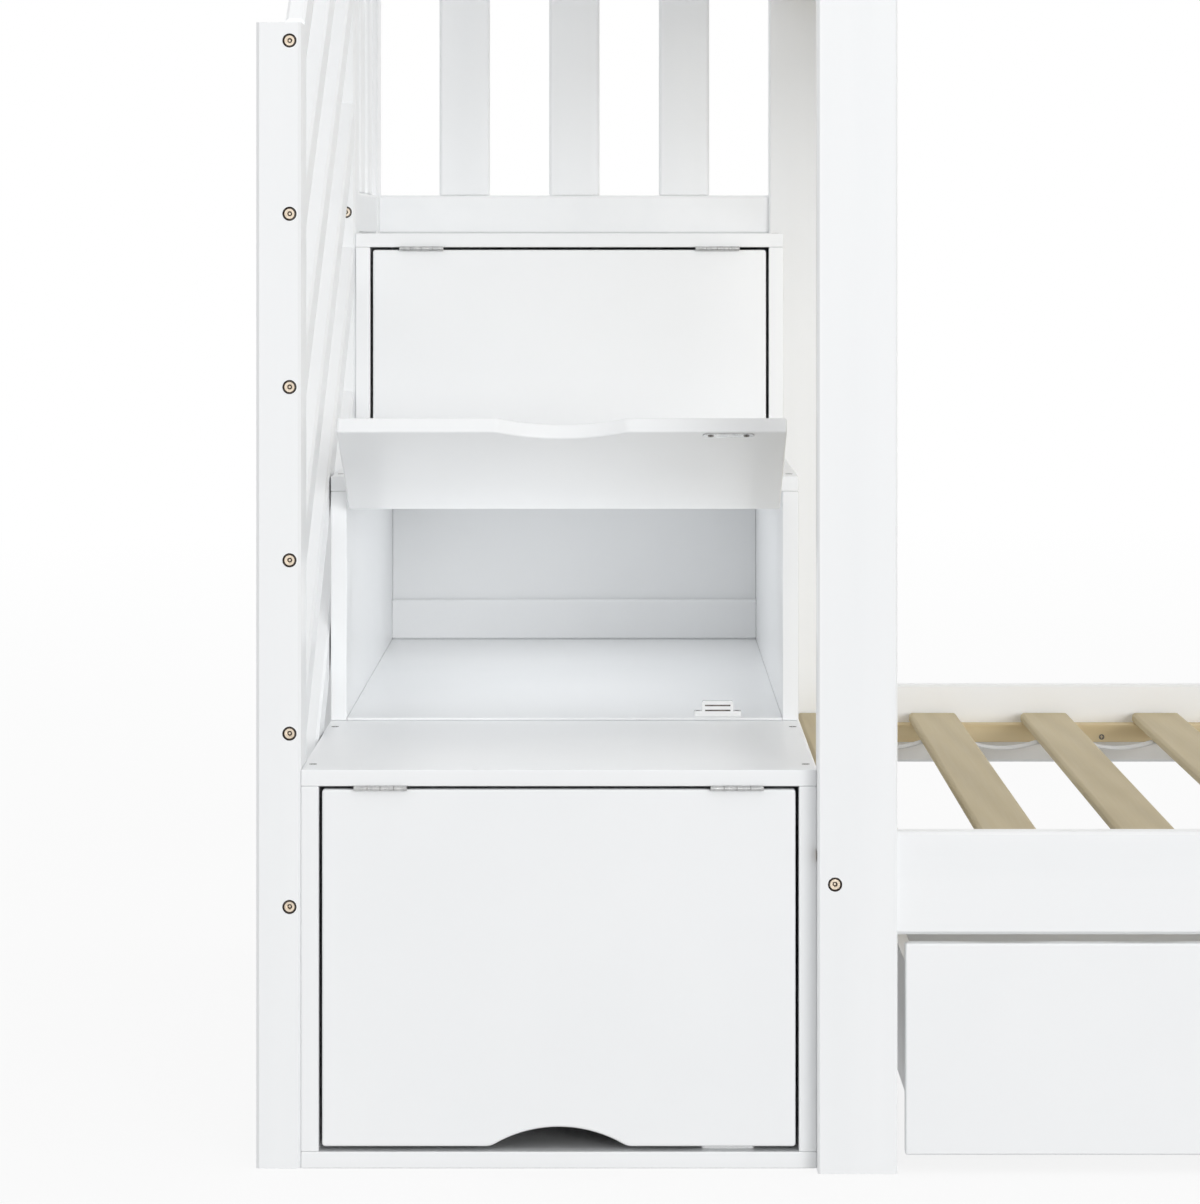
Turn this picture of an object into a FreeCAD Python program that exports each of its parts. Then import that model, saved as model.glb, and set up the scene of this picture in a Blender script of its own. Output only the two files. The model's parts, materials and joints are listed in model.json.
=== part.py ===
import FreeCAD, Part
import math
import os

os.makedirs("parts", exist_ok=True)
V = FreeCAD.Vector

# Bunk bed with a storage staircase at its left end and a slide at its right end.
# Lengths are in millimetres and angles in degrees. +X runs along the bed from the stairs
# to the slide, +Y from the front to the back and +Z up. The model is worked out from the
# floor corner below the front left post and moved at the end, so that the origin is on
# the floor below the middle of the whole object.

# Bed frame
bed_length = 1970
bed_depth = 1460
post_width = 76
post_thickness = 42
post_crown = 20
post_ease = 2
rail_height = 98
rail_thickness = 25
rail_ease = 3
rail_setback = 8.5
end_rail_thickness = 20
end_rail_setback = 3
lower_rail_bottom = 226.5
bunk_spacing = 976.5

# Slat decks
slat_count = 14
slat_width = 60
slat_thickness = 13
slat_ease = 3
slat_end_offset = 36
slat_post_gap = 2
ledger_height = 22
ledger_width = 30
ledger_raise = 28.5
beam_width = 30
beam_leg_width = 40
beam_leg_places_shares = (0.33, 0.67)

# Webbing bands that keep the slats apart
band_width = 36
band_thickness = 1.2
band_sag = 7
band_inset = 196

# Guards of the upper bunk and headboard of the lower one
guard_rise = 329
guard_rail_height = 60
guard_slat_width = 64
guard_slat_thickness = 18
guard_slat_ease = 3
side_guard_slats = 12
end_guard_slats = 5
guard_post_width = 42
headboard_rise = 355.5
headboard_rail_height = 80
headboard_slats = 9

# Staircase boxes
stair_width = 494
stair_setback = 25
step_run = 440
tread_tops = (382, 640, 897)
tread_thickness = 16
side_thickness = 17
stair_rear_gap = 36
liner_thickness = 3
back_panel_thickness = 12
back_rail_height = 50
back_rail_thickness = 16

# Doors in the risers, hinged below each tread
door_thickness = 16
door_side_gap = 3.2
door_top_gap = 3
door_bottom_gap = 5
door_corner_round = 3
grip_width = 140
grip_height = 18.6
grip_inflection_share = 0.12
open_angles = (0, 113, 0)

# Butt hinges
hinge_length = 51
hinge_inset = 56
hinge_leaf_width = 13
hinge_leaf_thickness = 1.15
hinge_barrel_radius = 2.6
hinge_pin_radius = 1.1
hinge_running_gap = 0.05
hinge_knuckles = 4
hinge_knuckle_gap = 0.3
hinge_front_gap = 0.5

# Magnetic catches and their strike plates
catch_offset = 85
catch_body_width = 33
catch_height = 15.5
catch_depth = 14
catch_ear_reach = 8.5
catch_ear_height = 5
catch_round = 2
catch_slot_height = 1.6
catch_slot_depth = 2
catch_slot_margin = 3
catch_slot_count = 2
strike_offset = 79
strike_length = 52
strike_width = 10
strike_thickness = 1
strike_edge_gap = 2
strike_air_gap = 0.4
strike_hole_radius = 2
strike_hole_inset = 8

# Handrail and guards of the staircase
stair_post_width = 43
stair_post_depth = 76
newel_crown = 17.5
hand_slat_count = 6
hand_slat_thickness = 19
hand_slat_height = 44
hand_slat_inset = 1.5
hand_slat_first = 250.5
hand_slat_pitch = 166
hand_slat_rise = 440
stair_guard_rail_height = 49
stair_side_slats = 2
stair_back_slats = 3

# Connector bolts
bolt_head_radius = 5.6
bolt_head_height = 4
bolt_seat_gap = 1.2
bolt_radius = 3
bolt_socket_across = 5
bolt_socket_depth = 3
bolt_sink = 0.8
bolt_grip = 30
end_bolt_inset = 16.5

# Under-bed drawers
drawer_count = 2
drawer_front_thickness = 16
drawer_front_bottom = 16
drawer_front_gap = 8
drawer_top_gap = 8.3
drawer_board = 12
drawer_box_inset = 1
drawer_box_drop = 21
drawer_box_depth = 620
drawer_bottom_thickness = 6
drawer_bottom_raise = 6

# Casters of the drawers
wheel_radius = 25
wheel_width = 16
wheel_bevel = 4
axle_radius = 3
axle_running_gap = 0.05
fork_thickness = 2
fork_wheel_gap = 1
fork_foot_radius = 8
caster_plate_length = 42
caster_plate_thickness = 2.5
caster_head_gap = 19.5
caster_inset = 95

# Slide
slide_width = 480
slide_front_offset = 80
slide_side_thickness = 20
slide_side_rise = 100
slide_side_drop = 60
slide_end_round = 30
chute_thickness = 12
slide_angle = 45
slide_lip = 75
slide_crest_radius = 200
slide_sweep_radius = 450
slide_runout = 180
slide_bar_width = 40
slide_bar_thickness = 20
slide_bar_places_shares = (0.08, 0.36, 0.64, 0.92)
hook_width = 40
hook_thickness = 4
hook_inner_drop = 50
hook_outer_drop = 30
hook_inset = 70
slide_gate_gap = 30

# Places that follow from the sizes above
upper_rail_bottom = lower_rail_bottom + bunk_spacing
rail_bottoms = (lower_rail_bottom, upper_rail_bottom)
upper_rail_top = upper_rail_bottom + rail_height
guard_top = upper_rail_top + guard_rise
post_height = guard_top + post_crown
headboard_top = lower_rail_bottom + rail_height + headboard_rise
rear_post_front = bed_depth - post_thickness
post_right = bed_length - post_width
end_rail_spans = (
    (end_rail_setback, end_rail_setback + end_rail_thickness),
    (bed_length - end_rail_setback - end_rail_thickness, bed_length - end_rail_setback),
)
side_rail_spans = (
    (rail_setback, rail_setback + rail_thickness),
    (bed_depth - rail_setback - rail_thickness, bed_depth - rail_setback),
)
stair_left = -stair_width
stair_rear = bed_depth - stair_rear_gap
step_fronts = [stair_setback + step_run * step for step in range(len(tread_tops))]
step_floors = [tread_thickness] + [top + liner_thickness for top in tread_tops[:-1]]
box_left = stair_left + side_thickness
box_right = -side_thickness
landing_top = tread_tops[-1]
newel_height = hand_slat_first + hand_slat_pitch * (hand_slat_count - 1) + newel_crown
hinge_reach = hinge_barrel_radius + hinge_front_gap
drawer_front_top = lower_rail_bottom - drawer_top_gap
drawer_box_bottom = 2 * wheel_radius + caster_head_gap + caster_plate_thickness
drawer_box_top = drawer_front_top - drawer_box_drop
slide_start = end_rail_spans[1][0]
slide_lip_end = end_rail_spans[1][1] + slide_lip
slide_top = upper_rail_top + hook_thickness + chute_thickness


def box(x, y, z):
    size = (x[1] - x[0], y[1] - y[0], z[1] - z[0])
    return Part.makeBox(size[0], size[1], size[2], V(x[0], y[0], z[0]))


def edges_along(shape, axis):
    straight = [edge for edge in shape.Edges if isinstance(edge.Curve, Part.Line)]
    return [edge for edge in straight if abs(edge.Curve.Direction.dot(axis)) > math.cos(math.radians(1))]


def eased(x, y, z, axis, ease):
    """A board whose long edges are planed off."""
    board = box(x, y, z)
    return board.makeChamfer(ease, edges_along(board, axis))


def segment(start, end):
    return Part.LineSegment(start, end).toShape()


def arc(start, middle, end):
    return Part.Arc(start, middle, end).toShape()


def prism(edges, direction):
    return Part.Face(Part.Wire(edges)).extrude(direction)


def polygon_prism(points, direction):
    return Part.Face(Part.makePolygon(points + [points[0]])).extrude(direction)


def cylinder(start, axis, radius, length):
    return Part.makeCylinder(radius, length, start, axis)


def spread(low, high, width, count):
    """Low ends of evenly spaced pieces between two supports."""
    gap = (high - low - width * count) / (count + 1)
    return [low + gap + (width + gap) * place for place in range(count)]


def cut_all(shape, tools):
    for tool in tools:
        if shape.BoundBox.intersect(tool.BoundBox):
            shape = shape.cut(tool)
    return shape


# Bolts


def bolt(head, axis, grip):
    """A flat-headed connector bolt with a hexagon socket, sunk just below the face at head."""
    face = head + axis * bolt_sink
    body = cylinder(face, axis, bolt_head_radius, bolt_head_height)
    shank = cylinder(face, axis, bolt_radius, grip + bolt_grip)
    socket = Part.makePolygon([
        V(
            bolt_socket_across / 2 / math.cos(math.pi / 6) * math.cos(math.pi / 3 * corner),
            bolt_socket_across / 2 / math.cos(math.pi / 6) * math.sin(math.pi / 3 * corner),
            0,
        )
        for corner in range(7)
    ])
    pocket = Part.Face(socket).extrude(V(0, 0, bolt_socket_depth))
    pocket.Placement = FreeCAD.Placement(face, FreeCAD.Rotation(V(0, 0, 1), axis))
    return body.fuse(shank).removeSplitter().cut(pocket)


def bolt_seat(head, axis, grip):
    """The counterbored hole that a bolt sits in."""
    mouth = cylinder(head, axis, bolt_head_radius + bolt_seat_gap, bolt_sink + bolt_head_height)
    hole = cylinder(head, axis, bolt_radius, bolt_sink + grip + bolt_grip)
    return mouth.fuse(hole)


def bed_bolt_places():
    """Head, direction and grip of the bolts that hold the bed's rails to its posts."""
    places = []
    for bottom in rail_bottoms:
        height = bottom + rail_height / 2
        for x in (end_bolt_inset, bed_length - end_bolt_inset):
            places.append((V(x, 0, height), V(0, 1, 0), post_thickness))
            places.append((V(x, bed_depth, height), V(0, -1, 0), post_thickness))
        for span in side_rail_spans:
            middle = sum(span) / 2
            places.append((V(0, middle, height + rail_height / 4), V(1, 0, 0), post_width))
            places.append((V(bed_length, middle, height + rail_height / 4), V(-1, 0, 0), post_width))
    return places


def hand_slat_span():
    high = stair_left - hand_slat_inset
    return (high - hand_slat_thickness, high)


def stair_post_fronts():
    return (stair_setback, step_fronts[-1], bed_depth - stair_post_depth)


def stair_bolt_places():
    """Bolts of the handrail: through the newel, and through the middle post from the front and back."""
    middle = sum(hand_slat_span()) / 2
    newel, centre, rear = stair_post_fronts()
    places = []
    for place in range(hand_slat_count):
        height = hand_slat_first + hand_slat_pitch * place
        places.append((V(middle, newel, height), V(0, 1, 0), stair_post_depth))
        back = V(middle, centre + stair_post_depth, height + hand_slat_rise)
        places.append((back, V(0, -1, 0), stair_post_depth))
    for low, high in stair_guard_heights():
        places.append((V(middle, rear + stair_post_depth, (low + high) / 2), V(0, -1, 0), stair_post_depth))
    low, high = stair_guard_heights()[0]
    places.append((V(middle, centre, (low + high) / 2), V(0, 1, 0), stair_post_depth))
    return places


def stair_guard_heights():
    return (
        (landing_top, landing_top + stair_guard_rail_height),
        (guard_top - guard_rail_height, guard_top),
    )


# Bed frame


def bed_post(left, front, seats):
    x = (left, left + post_width)
    y = (front, front + post_thickness)
    post = box(x, y, (0, post_height))
    upright = edges_along(post, V(0, 0, 1))
    top = [edge for edge in post.Edges if edge.BoundBox.ZMin > post_height / 2]
    post = post.makeChamfer(post_ease, upright + top)
    return cut_all(post, seats)


def side_rail(span, bottom, seats):
    rail = eased((post_width, post_right), span, (bottom, bottom + rail_height), V(1, 0, 0), rail_ease)
    return cut_all(rail, seats)


def end_rail(span, bottom, seats):
    y = (post_thickness, rear_post_front)
    rail = eased(span, y, (bottom, bottom + rail_height), V(0, 1, 0), rail_ease)
    return cut_all(rail, seats)


def ledgers():
    """Strips on the inner faces of the side rails that carry the slats."""
    inner_front = side_rail_spans[0][1]
    inner_rear = side_rail_spans[1][0]
    spans = ((inner_front, inner_front + ledger_width), (inner_rear - ledger_width, inner_rear))
    strips = []
    for bottom in rail_bottoms:
        low = bottom + ledger_raise
        for span in spans:
            strips.append(box((post_width, post_right), span, (low, low + ledger_height)))
    return strips


def slat_lefts():
    pitch = (bed_length - 2 * slat_end_offset - slat_width) / (slat_count - 1)
    return [slat_end_offset + pitch * place for place in range(slat_count)]


def slats(bottom):
    low = bottom + ledger_raise + ledger_height
    y = (post_thickness + slat_post_gap, rear_post_front - slat_post_gap)
    z = (low, low + slat_thickness)
    return [eased((left, left + slat_width), y, z, V(0, 1, 0), slat_ease) for left in slat_lefts()]


def band(bottom, front):
    """A webbing band fixed below each slat, sagging a little in every gap."""
    top = bottom + ledger_raise + ledger_height
    lefts = slat_lefts()
    upper = []
    lower = []
    for left, following in zip(lefts, lefts[1:] + [None]):
        right = left + slat_width
        for chain, height in ((upper, top), (lower, top - band_thickness)):
            chain.append(segment(V(left, front, height), V(right, front, height)))
            if following is not None:
                dip = V((right + following) / 2, front, height - band_sag)
                chain.append(arc(V(right, front, height), dip, V(following, front, height)))
    ends = [
        segment(V(place, front, top), V(place, front, top - band_thickness))
        for place in (lefts[0], lefts[-1] + slat_width)
    ]
    outline = Part.Wire(Part.__sortEdges__(upper + lower + ends))
    return Part.Face(outline).extrude(V(0, band_width, 0))


def bands():
    inner_front = post_thickness + band_inset
    inner_rear = rear_post_front - band_inset - band_width
    return [band(bottom, front) for bottom in rail_bottoms for front in (inner_front, inner_rear)]


def centre_beams():
    """A beam under the middle of each deck: the lower on two legs, the upper from end to end."""
    y = ((bed_depth - beam_width) / 2, (bed_depth + beam_width) / 2)
    leg_y = ((bed_depth - beam_leg_width) / 2, (bed_depth + beam_leg_width) / 2)
    leg_spans = []
    for share in beam_leg_places_shares:
        middle = bed_length * share
        leg_spans.append((middle - beam_leg_width / 2, middle + beam_leg_width / 2))
    beam_spans = ((leg_spans[0][0], leg_spans[-1][1]), (end_rail_spans[0][1], end_rail_spans[1][0]))
    beams = []
    for x, bottom in zip(beam_spans, rail_bottoms):
        beams.append(box(x, y, (bottom, bottom + ledger_raise + ledger_height)))
    for x in leg_spans:
        beams.append(eased(x, leg_y, (0, lower_rail_bottom), V(0, 0, 1), post_ease))
    return beams


# Guards of the bed


def slat_row(low, high, count, span, z, along_x):
    """Upright slats between two rails, spread evenly along X or Y."""
    row = []
    inset = (span[1] - span[0] - guard_slat_thickness) / 2
    across = (span[0] + inset, span[1] - inset)
    for start in spread(low, high, guard_slat_width, count):
        along = (start, start + guard_slat_width)
        x, y = (along, across) if along_x else (across, along)
        row.append(eased(x, y, z, V(0, 0, 1), guard_slat_ease))
    return row


def gate_post_spans():
    """Short posts beside the way in from the landing and beside the top of the slide."""
    landing_edge = step_fronts[-1]
    slide_edge = slide_front_offset + slide_width + slide_gate_gap
    return ((landing_edge - guard_post_width, landing_edge), (slide_edge, slide_edge + guard_post_width))


def gate_posts():
    z = (upper_rail_top, guard_top)
    return [
        eased(x, y, z, V(0, 0, 1), rail_ease)
        for x, y in zip(end_rail_spans, gate_post_spans())
    ]


def end_guard_spans():
    left_gate, right_gate = gate_post_spans()
    return ((post_thickness, left_gate[0]), (right_gate[1], rear_post_front))


def guard_top_rails():
    z = (guard_top - guard_rail_height, guard_top)
    rails = [eased((post_width, post_right), y, z, V(1, 0, 0), rail_ease) for y in side_rail_spans]
    for x, y in zip(end_rail_spans, end_guard_spans()):
        rails.append(eased(x, y, z, V(0, 1, 0), rail_ease))
    return rails


def guard_slats():
    z = (upper_rail_top, guard_top - guard_rail_height)
    row = []
    for span in side_rail_spans:
        row += slat_row(post_width, post_right, side_guard_slats, span, z, True)
    for span, ends in zip(end_rail_spans, end_guard_spans()):
        row += slat_row(ends[0], ends[1], end_guard_slats, span, z, False)
    return row


def headboard_rail():
    z = (headboard_top - headboard_rail_height, headboard_top)
    y = (post_thickness, rear_post_front)
    return eased(end_rail_spans[1], y, z, V(0, 1, 0), rail_ease)


def headboard_slat_row():
    z = (lower_rail_bottom + rail_height, headboard_top - headboard_rail_height)
    return slat_row(post_thickness, rear_post_front, headboard_slats, end_rail_spans[1], z, False)


# Staircase


def stair_post(front, height, seats):
    x = (stair_left - stair_post_width, stair_left)
    post = eased(x, (front, front + stair_post_depth), (0, height), V(0, 0, 1), rail_ease)
    return cut_all(post, seats)


def hand_slats(seats):
    """Sloping slats from the newel up to the middle post, cut plumb at both ends."""
    x = hand_slat_span()
    start = stair_setback + stair_post_depth
    end = step_fronts[-1]
    slope = math.atan2(hand_slat_rise, end - start)
    half = hand_slat_height / 2 / math.cos(slope)
    rows = []
    for place in range(hand_slat_count):
        low = hand_slat_first + hand_slat_pitch * place
        high = low + hand_slat_rise
        corners = [
            V(x[0], start, low - half),
            V(x[0], end, high - half),
            V(x[0], end, high + half),
            V(x[0], start, low + half),
        ]
        slat = polygon_prism(corners, V(hand_slat_thickness, 0, 0))
        long_edges = edges_along(slat, V(0, math.cos(slope), math.sin(slope)))
        rows.append(cut_all(slat.makeChamfer(guard_slat_ease, long_edges), seats))
    return rows


def stair_guard_back_span():
    middle = bed_depth - post_thickness / 2
    return (middle - rail_thickness / 2, middle + rail_thickness / 2)


def stair_guard_rails(seats):
    centre = stair_post_fronts()[1] + stair_post_depth
    rear = stair_post_fronts()[2]
    rails = []
    for z in stair_guard_heights():
        side = eased(hand_slat_span(), (centre, rear), z, V(0, 1, 0), rail_ease)
        rails.append(cut_all(side, seats))
        rails.append(eased((stair_left, 0), stair_guard_back_span(), z, V(1, 0, 0), rail_ease))
    return rails


def stair_guard_slats():
    low, high = stair_guard_heights()
    z = (low[1], high[0])
    centre = stair_post_fronts()[1] + stair_post_depth
    rear = stair_post_fronts()[2]
    row = slat_row(centre, rear, stair_side_slats, hand_slat_span(), z, False)
    return row + slat_row(stair_left, 0, stair_back_slats, stair_guard_back_span(), z, True)


def step_tread(step):
    z = (tread_tops[step] - tread_thickness, tread_tops[step])
    return box((stair_left, 0), (step_fronts[step], stair_rear), z)


def step_sides(step):
    low = tread_thickness if step == 0 else tread_tops[step - 1]
    z = (low, tread_tops[step] - tread_thickness)
    y = (step_fronts[step], stair_rear)
    return [box((stair_left, box_left), y, z), box((box_right, 0), y, z)]


def step_base():
    return box((stair_left, 0), (stair_setback, stair_rear), (0, tread_thickness))


def step_liners():
    """Thin floors of the second and third boxes, laid on the tread below."""
    rear = stair_rear - back_panel_thickness
    return [
        box((box_left, box_right), (step_fronts[step], rear), (tread_tops[step - 1], step_floors[step]))
        for step in range(1, len(tread_tops))
    ]


def back_panels():
    y = (stair_rear - back_panel_thickness, stair_rear)
    panels = []
    for step, top in enumerate(tread_tops):
        low = tread_thickness if step == 0 else tread_tops[step - 1]
        panels.append(box((box_left, box_right), y, (low, top - tread_thickness)))
    return panels


def back_rails():
    rear = stair_rear - back_panel_thickness
    y = (rear - back_rail_thickness, rear)
    return [
        eased((box_left, box_right), y, (low, low + back_rail_height), V(1, 0, 0), catch_round)
        for low in step_floors
    ]


# Doors


def grip_edges(middle, base, sign, front):
    """The wavy finger grip: two tangent arcs up to its middle and two down again."""
    half = grip_width / 2
    angle = 2 * math.atan2(grip_height, half)

    def bend(share, part):
        chord = math.hypot(half * share, grip_height * share)
        radius = chord / 2 / math.sin(angle / 2)
        return radius * math.sin(angle * part), radius * (1 - math.cos(angle * part))

    def place(along, up):
        return V(middle + along, front, base + sign * up)

    low_half = bend(grip_inflection_share, 0.5)
    low_end = bend(grip_inflection_share, 1)
    top_half = bend(1 - grip_inflection_share, 0.5)
    edges = []
    for side in (-1, 1):
        start = place(side * half, 0)
        knee = place(side * (half - low_end[0]), low_end[1])
        low_middle = place(side * (half - low_half[0]), low_half[1])
        top_middle = place(side * top_half[0], grip_height - top_half[1])
        crown = place(0, grip_height)
        edges.append(arc(start, low_middle, knee))
        edges.append(arc(knee, top_middle, crown))
    return edges


def gripped_panel(x, front, z, thickness, grip_base, sign):
    """A board with the finger grip in its lower edge (sign 1) or upper edge (sign -1)."""
    middle = (x[0] + x[1]) / 2
    half = grip_width / 2
    other = z[1] if sign > 0 else z[0]
    corners = [
        V(x[0], front, grip_base),
        V(x[0], front, other),
        V(x[1], front, other),
        V(x[1], front, grip_base),
    ]
    edges = [segment(start, end) for start, end in zip(corners, corners[1:])]
    edges.append(segment(V(middle - half, front, grip_base), corners[0]))
    edges.append(segment(V(middle + half, front, grip_base), corners[3]))
    edges += grip_edges(middle, grip_base, sign, front)
    outline = Part.Wire(Part.__sortEdges__(edges))
    return Part.Face(outline).extrude(V(0, thickness, 0))


def door_heights(step):
    top = tread_tops[step] - tread_thickness - door_top_gap
    return (step_floors[step] + door_bottom_gap, top)


def door_pivot(step):
    """Centre of the hinge barrels, just in front of the middle of the gap above the door."""
    return V(0, step_fronts[step] - hinge_reach, door_heights(step)[1] + door_top_gap / 2)


def opened(shape, step):
    turned = shape.copy()
    turned.rotate(door_pivot(step), V(-1, 0, 0), open_angles[step])
    return turned


def door(step):
    x = (box_left + door_side_gap, box_right - door_side_gap)
    z = door_heights(step)
    panel = gripped_panel(x, step_fronts[step], z, door_thickness, z[0], 1)
    corners = [
        edge for edge in edges_along(panel, V(0, 1, 0))
        if min(abs(edge.CenterOfMass.x - side) for side in x) < door_corner_round
    ]
    return opened(panel.makeFillet(door_corner_round, corners), step)


def hinge_centres():
    return (box_left + door_side_gap + hinge_inset, box_right - door_side_gap - hinge_inset)


def hinge_leaf(step, centre, moving):
    """One leaf with its share of the knuckles. The moving one lies on the door's top edge."""
    pivot = door_pivot(step)
    left = centre - hinge_length / 2
    length = hinge_length / hinge_knuckles
    plate_y = (pivot.y + hinge_reach, pivot.y + hinge_reach + hinge_leaf_width)
    face = -door_top_gap / 2 if moving else door_top_gap / 2 - hinge_leaf_thickness
    plate_z = (pivot.z + face, pivot.z + face + hinge_leaf_thickness)
    leaf = box((left, left + hinge_length), plate_y, plate_z)
    bore = hinge_pin_radius + (hinge_running_gap if moving else 0)
    for knuckle in range(1 if moving else 0, hinge_knuckles, 2):
        start = left + length * knuckle + (hinge_knuckle_gap if moving else 0)
        width = length - (2 * hinge_knuckle_gap if moving else 0)
        barrel = cylinder(V(start, pivot.y, pivot.z), V(1, 0, 0), hinge_barrel_radius, width)
        tab = box((start, start + width), (pivot.y, plate_y[0]), plate_z)
        leaf = leaf.fuse(barrel.fuse(tab))
    hole = cylinder(V(left, pivot.y, pivot.z), V(1, 0, 0), bore, hinge_length)
    return leaf.removeSplitter().cut(hole)


def hinge_pin(step, centre):
    pivot = door_pivot(step)
    start = V(centre - hinge_length / 2, pivot.y, pivot.z)
    return cylinder(start, V(1, 0, 0), hinge_pin_radius, hinge_length)


def fixed_hinges():
    pieces = []
    for step in range(len(tread_tops)):
        for centre in hinge_centres():
            pieces += [hinge_leaf(step, centre, False), hinge_pin(step, centre)]
    return pieces


def strike_plate(step):
    """A rounded plate with two screw holes, low on the inner face of the door."""
    low = door_heights(step)[0] + strike_edge_gap
    back = step_fronts[step] + door_thickness
    half = strike_length / 2 - strike_width / 2
    middle = -strike_offset
    height = low + strike_width / 2
    edges = []
    for side in (-1, 1):
        centre = middle + side * half
        low_end = V(centre, back, low)
        high_end = V(centre, back, low + strike_width)
        edges.append(arc(low_end, V(centre + side * strike_width / 2, back, height), high_end))
    for edge_height in (low, low + strike_width):
        edges.append(segment(V(middle - half, back, edge_height), V(middle + half, back, edge_height)))
    plate = Part.Face(Part.Wire(Part.__sortEdges__(edges))).extrude(V(0, strike_thickness, 0))
    for side in (-1, 1):
        place = V(middle + side * (strike_length / 2 - strike_hole_inset), back, height)
        plate = plate.cut(cylinder(place, V(0, 1, 0), strike_hole_radius, strike_thickness))
    return plate


def door_hardware(step):
    pieces = [hinge_leaf(step, centre, True) for centre in hinge_centres()]
    pieces.append(strike_plate(step))
    return [opened(piece, step) for piece in pieces]


def magnetic_catch(step):
    """A moulded catch on the floor behind the door: a body with slots and two ears."""
    front = step_fronts[step] + door_thickness + strike_thickness + strike_air_gap
    low = step_floors[step]
    left = -catch_offset - catch_body_width / 2
    right = left + catch_body_width
    body = box((left, right), (front, front + catch_depth), (low, low + catch_height))
    top = [edge for edge in body.Edges if edge.BoundBox.ZMin > low + catch_height / 2]
    body = body.makeFillet(catch_round, top)
    ears = box(
        (left - catch_ear_reach, right + catch_ear_reach),
        (front, front + catch_depth),
        (low, low + catch_ear_height),
    )
    ears = ears.makeFillet(catch_round, edges_along(ears, V(0, 0, 1)))
    body = body.fuse(ears).removeSplitter()
    pitch = (catch_height - catch_ear_height) / catch_slot_count
    for slot in range(catch_slot_count):
        bottom = low + catch_ear_height + pitch * slot
        z = (bottom, bottom + catch_slot_height)
        x = (left + catch_slot_margin, right - catch_slot_margin)
        body = body.cut(box(x, (front, front + catch_slot_depth), z))
    return body


# Drawers


def drawer_front_span(place):
    room = post_right - post_width - drawer_front_gap * (drawer_count + 1)
    width = room / drawer_count
    left = post_width + drawer_front_gap + (width + drawer_front_gap) * place
    return (left, left + width)


def drawer_front(place):
    z = (drawer_front_bottom, drawer_front_top)
    return gripped_panel(drawer_front_span(place), rail_setback, z, drawer_front_thickness, z[1], -1)


def drawer_box_spans(place):
    front = drawer_front_span(place)
    x = (front[0] + drawer_box_inset, front[1] - drawer_box_inset)
    start = rail_setback + drawer_front_thickness
    return x, (start, start + drawer_box_depth)


def drawer_walls(place):
    x, y = drawer_box_spans(place)
    z = (drawer_box_bottom, drawer_box_top)
    walls = [box(ends, y, z) for ends in ((x[0], x[0] + drawer_board), (x[1] - drawer_board, x[1]))]
    inner = (x[0] + drawer_board, x[1] - drawer_board)
    walls.append(box(inner, (y[1] - drawer_board, y[1]), z))
    return walls


def drawer_floor(place):
    x, y = drawer_box_spans(place)
    low = drawer_box_bottom + drawer_bottom_raise
    inner = (x[0] + drawer_board, x[1] - drawer_board)
    floor = box(inner, (y[0], y[1] - drawer_board), (low, low + drawer_bottom_thickness))
    cleats = [
        box((centre - caster_plate_length / 2, centre + caster_plate_length / 2),
            (y[0], y[1] - drawer_board), (drawer_box_bottom, low))
        for centre in caster_centres(place)
    ]
    return [floor] + cleats


def caster_centres(place):
    x = drawer_box_spans(place)[0]
    return (x[0] + drawer_board + caster_inset, x[1] - drawer_board - caster_inset)


def caster_rows(place):
    y = drawer_box_spans(place)[1]
    return (y[0] + caster_inset, y[1] - drawer_board - caster_inset)


def caster_fork(centre, row):
    """A rigid caster: a plate, two tapered legs and the axle."""
    half = caster_plate_length / 2
    plate_low = drawer_box_bottom - caster_plate_thickness
    fork = box((centre - half, centre + half), (row - half, row + half), (plate_low, drawer_box_bottom))
    inner = wheel_width / 2 + fork_wheel_gap
    for left in (centre - inner - fork_thickness, centre + inner):
        foot = [V(left, row - fork_foot_radius, wheel_radius), V(left, row + fork_foot_radius, wheel_radius)]
        head = [V(left, row + half, plate_low), V(left, row - half, plate_low)]
        low = V(left, row, wheel_radius - fork_foot_radius)
        edges = [arc(foot[0], low, foot[1]), segment(foot[1], head[0])]
        edges += [segment(head[0], head[1]), segment(head[1], foot[0])]
        fork = fork.fuse(prism(edges, V(fork_thickness, 0, 0)))
    width = 2 * (inner + fork_thickness)
    axle = cylinder(V(centre - width / 2, row, wheel_radius), V(1, 0, 0), axle_radius, width)
    return fork.fuse(axle).removeSplitter()


def caster_wheel(centre, row):
    """A small solid wheel with bevelled shoulders."""
    half = wheel_width / 2
    bore = axle_radius + axle_running_gap
    side = [(half, bore), (half, wheel_radius - wheel_bevel), (half - wheel_bevel, wheel_radius)]
    profile = [V(x, y, 0) for x, y in side] + [V(-x, y, 0) for x, y in reversed(side)]
    wheel = Part.Face(Part.makePolygon(profile + profile[:1])).revolve(V(0, 0, 0), V(1, 0, 0), 360)
    wheel.translate(V(centre, row, wheel_radius))
    return wheel


# Slide


def slide_straight():
    """Length of the straight run, from the drop that the bends leave over."""
    steep = math.radians(slide_angle)
    drop = slide_top - slide_side_drop
    drop -= (slide_crest_radius + slide_sweep_radius) * (1 - math.cos(steep))
    return drop / math.sin(steep)


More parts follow.
